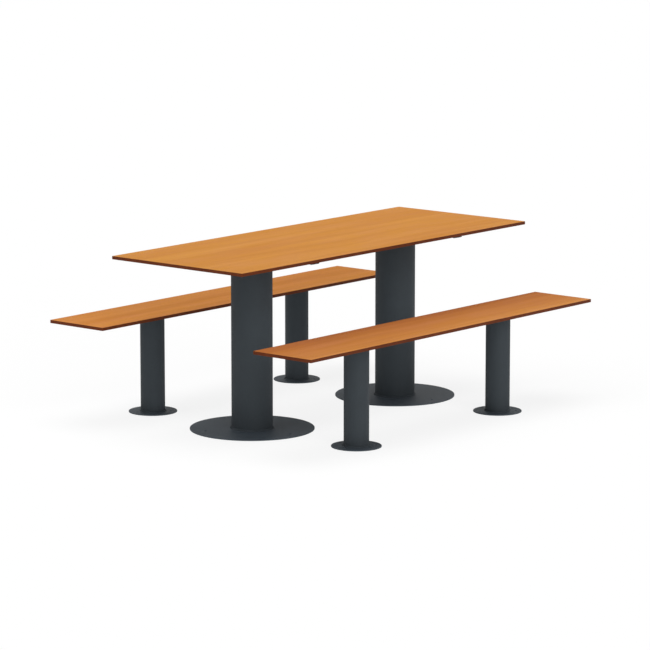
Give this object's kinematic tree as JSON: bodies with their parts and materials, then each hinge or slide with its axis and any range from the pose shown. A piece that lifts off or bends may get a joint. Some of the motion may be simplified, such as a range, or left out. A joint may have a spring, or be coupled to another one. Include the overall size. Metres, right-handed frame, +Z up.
{
  "type": "picnic table with two benches",
  "caption": "Long rectangular table and two matching backless benches, thin wood-decor laminate tops on round steel pedestals with flat disc feet, bolted to the floor.",
  "frame": {"origin": "on the floor, under the middle of the table", "axes": "+X along the tops, +Y from the front bench to the back bench, +Z up"},
  "size_m": [1.83, 1.391, 0.728],
  "materials": {
    "compact_laminate": "satin wood decor with a dark brown core at the edges",
    "powder_coated_steel": "satin anthracite powder coat with a fine texture",
    "zinc_plated_steel": "satin zinc plating",
    "brass": "turned brass"
  },
  "bodies": {
    "root": {"table_top": "compact_laminate", "front_bench_seat": "compact_laminate", "back_bench_seat": "compact_laminate", "table_spider_left": "powder_coated_steel", "table_spider_right": "powder_coated_steel", "table_column_left": "powder_coated_steel", "table_column_right": "powder_coated_steel", "table_base_plate_left": "powder_coated_steel", "table_base_plate_right": "powder_coated_steel", "front_bench_bracket_left": "powder_coated_steel", "front_bench_bracket_right": "powder_coated_steel", "front_bench_column_left": "powder_coated_steel", "front_bench_column_right": "powder_coated_steel", "front_bench_base_plate_left": "powder_coated_steel", "front_bench_base_plate_right": "powder_coated_steel", "back_bench_bracket_left": "powder_coated_steel", "back_bench_bracket_right": "powder_coated_steel", "back_bench_column_left": "powder_coated_steel", "back_bench_column_right": "powder_coated_steel", "back_bench_base_plate_left": "powder_coated_steel", "back_bench_base_plate_right": "powder_coated_steel", "table_screws": "zinc_plated_steel", "table_washers": "zinc_plated_steel", "table_inserts": "brass", "front_bench_screws": "zinc_plated_steel", "front_bench_washers": "zinc_plated_steel", "front_bench_inserts": "brass", "back_bench_screws": "zinc_plated_steel", "back_bench_washers": "zinc_plated_steel", "back_bench_inserts": "brass"}
  },
  "joints": []
}
